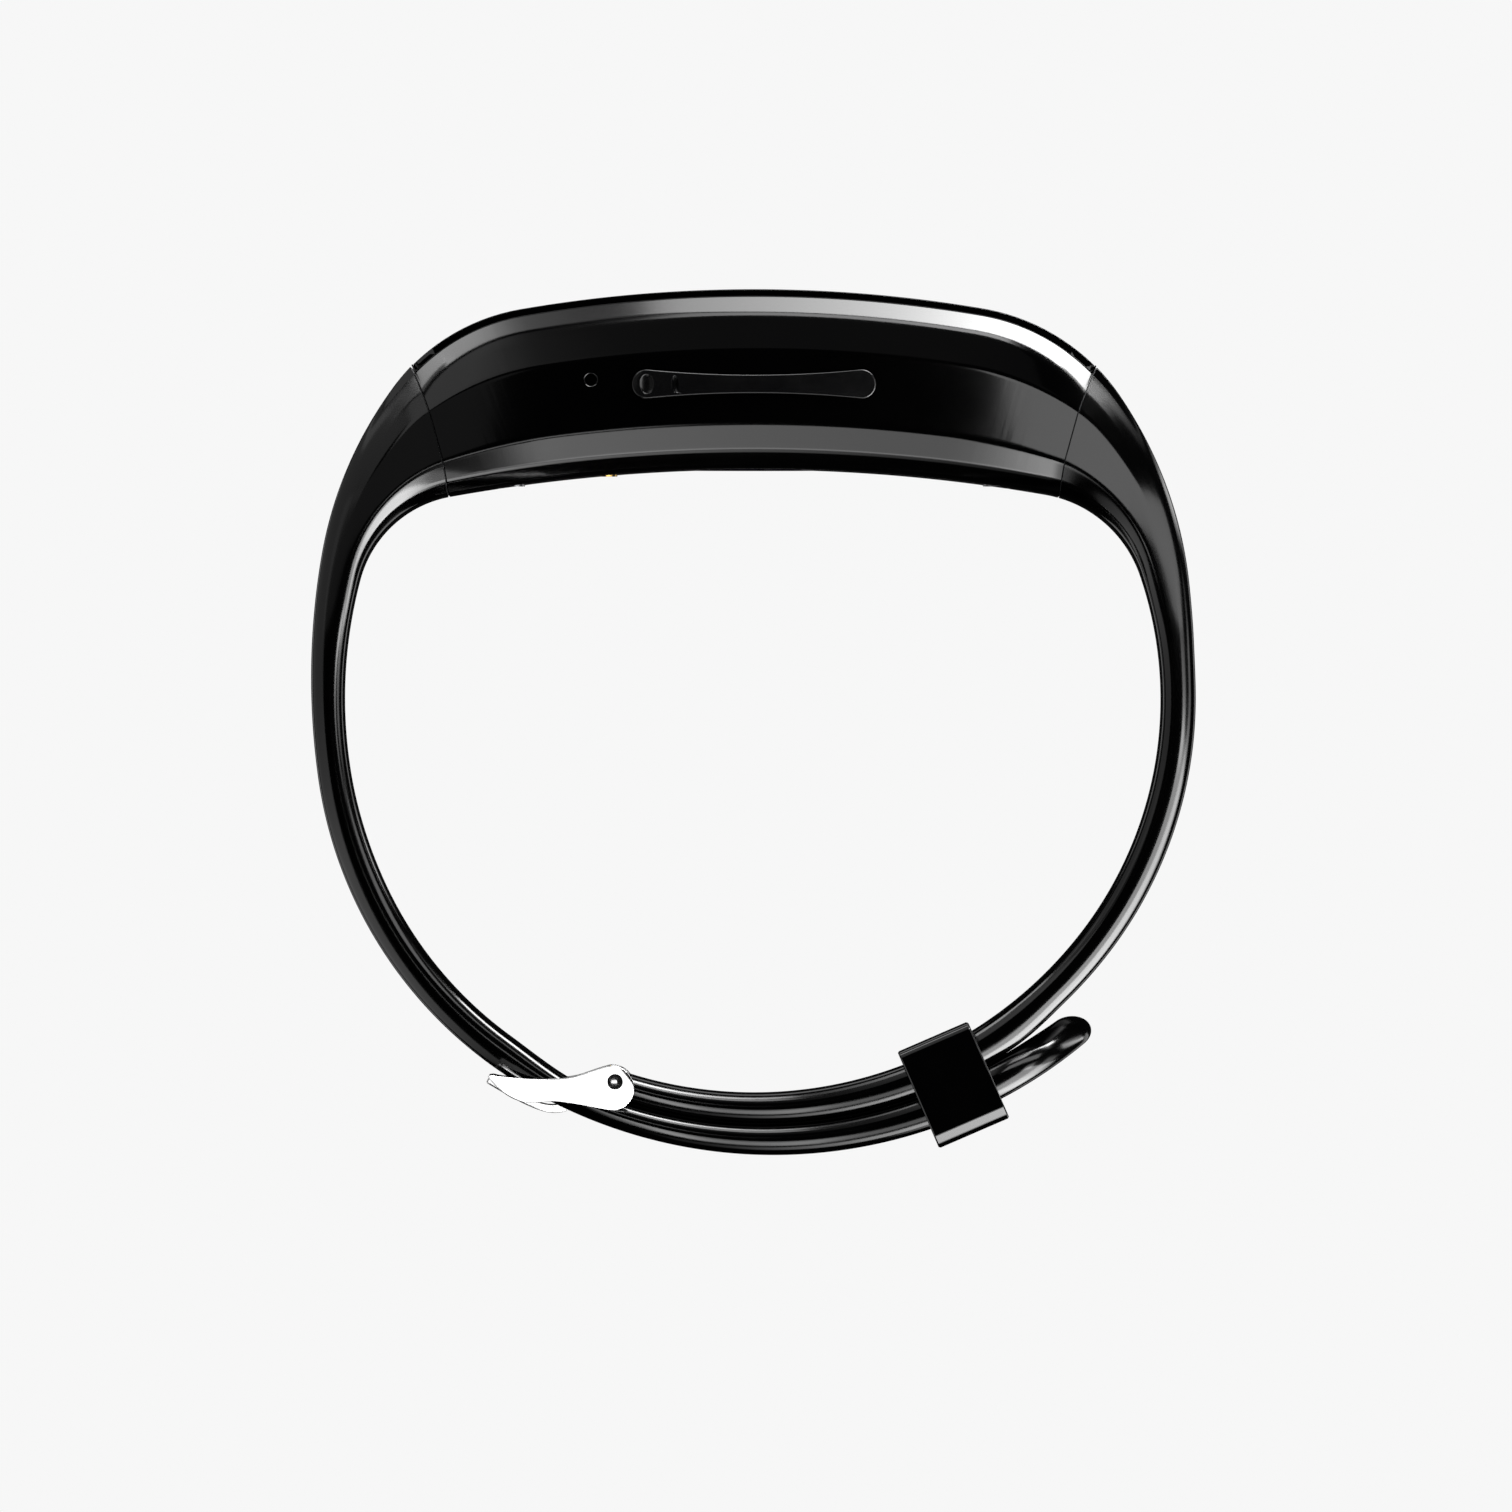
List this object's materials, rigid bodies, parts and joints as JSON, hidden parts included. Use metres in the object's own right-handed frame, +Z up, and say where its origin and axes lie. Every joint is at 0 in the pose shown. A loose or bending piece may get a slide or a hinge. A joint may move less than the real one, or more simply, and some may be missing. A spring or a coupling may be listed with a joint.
{
  "type": "fitness tracker band",
  "caption": "Slim wrist fitness tracker, buckled: curved pod with side button and glass front, two moulded straps, tang buckle and keeper loop.",
  "frame": {"origin": "the middle of the wrist opening, half way across the band", "axes": "+Z up through the display, +Y across the band away from the side button, +X along the pod towards the strap with the buckle"},
  "size_m": [0.0619, 0.0212, 0.0607],
  "materials": {
    "housing": "satin",
    "back_plastic": "satin",
    "display_glass": "polished",
    "sensor_glass": "polished",
    "strap_rubber": "soft matte",
    "keeper_rubber": "soft matte",
    "button_metal": "satin",
    "buckle_steel": "polished",
    "pin_steel": "satin",
    "seal_rubber": "matte",
    "adhesive": "matte",
    "panel": "gloss",
    "flex_film": "gloss",
    "board_green": "gloss",
    "chip_black": "matte",
    "shield_tin": "satin",
    "battery_foil": "satin",
    "foam": "matte",
    "tungsten": "satin",
    "copper": "satin",
    "switch_white": "matte",
    "gold_contact": "polished",
    "mesh_steel": "woven",
    "led_green": "gloss"
  },
  "bodies": {
    "band": {"upper_housing": "housing", "back_cover": "back_plastic", "case_gasket": "seal_rubber", "case_screws": "pin_steel", "display_lens": "display_glass", "lens_adhesive": "adhesive", "display_panel": "panel", "display_flex": "flex_film", "main_board": "board_green", "board_components": "chip_black", "shield_cans": "shield_tin", "battery": "battery_foil", "battery_foam": "foam", "motor_can": "shield_tin", "motor_shaft": "pin_steel", "antenna": "copper", "tactile_switch": "chip_black", "button_seal": "seal_rubber", "mic_port_ring": "pin_steel", "mic_mesh": "mesh_steel", "microphone": "tungsten", "sensor_window": "sensor_glass", "sensor_board": "board_green", "sensor_leds": "led_green", "sensor_light_dam": "chip_black", "charging_contacts": "gold_contact", "contact_flex": "flex_film", "hole_strap": "strap_rubber", "left_bar_tube": "pin_steel", "left_bar_pin": "pin_steel", "left_bar_spring": "pin_steel", "buckle_strap": "strap_rubber", "right_bar_tube": "pin_steel", "right_bar_pin": "pin_steel", "right_bar_spring": "pin_steel"},
    "side_button": {"side_button": "button_metal"},
    "switch_plunger": {"switch_plunger": "switch_white"},
    "motor_rotor": {"motor_rotor": "tungsten"},
    "left_release": {"left_release_pin": "pin_steel"},
    "right_release": {"right_release_pin": "pin_steel"},
    "keeper": {"keeper": "keeper_rubber"},
    "buckle": {"buckle_frame": "buckle_steel", "buckle_pin": "pin_steel"},
    "tang": {"buckle_tang": "buckle_steel"}
  },
  "joints": [
    {"name": "button_press", "type": "slide", "parent": "band", "child": "side_button", "axis": [0, 1, 0], "range_m": [0, 0.0003], "stiffness_N_per_m": 3000, "springref_m": -0.0002},
    {"name": "switch_travel", "type": "slide", "parent": "band", "child": "switch_plunger", "axis": [0, 1, 0], "range_m": [0, 0.0003]},
    {"name": "motor_spin", "type": "hinge", "parent": "band", "child": "motor_rotor", "pos_m": [0.0113, 0, 0.0263], "axis": [0, 0, 1], "continuous": true},
    {"name": "left_release_slide", "type": "slide", "parent": "band", "child": "left_release", "axis": [0, 1, 0], "range_m": [0, 0.001], "stiffness_N_per_m": 800, "springref_m": -0.0008, "deforming": ["left_bar_spring"]},
    {"name": "right_release_slide", "type": "slide", "parent": "band", "child": "right_release", "axis": [0, 1, 0], "range_m": [0, 0.001], "stiffness_N_per_m": 800, "springref_m": -0.0008, "deforming": ["right_bar_spring"]},
    {"name": "keeper_slide", "type": "hinge", "parent": "band", "child": "keeper", "pos_m": [0, 0, 0.00752], "axis": [0, 1, 0], "range_deg": [-1, 24]},
    {"name": "buckle_hinge", "type": "hinge", "parent": "band", "child": "buckle", "pos_m": [-0.00973, 0, -0.02095], "axis": [0, 1, 0], "range_deg": [-6, 0]},
    {"name": "tang_hinge", "type": "hinge", "parent": "buckle", "child": "tang", "pos_m": [-0.00973, 0, -0.02095], "axis": [0, 1, 0], "range_deg": [-4, 0]}
  ],
  "couplings": [
    {"joint": "switch_travel", "follows": "button_press", "ratio": 1}
  ]
}
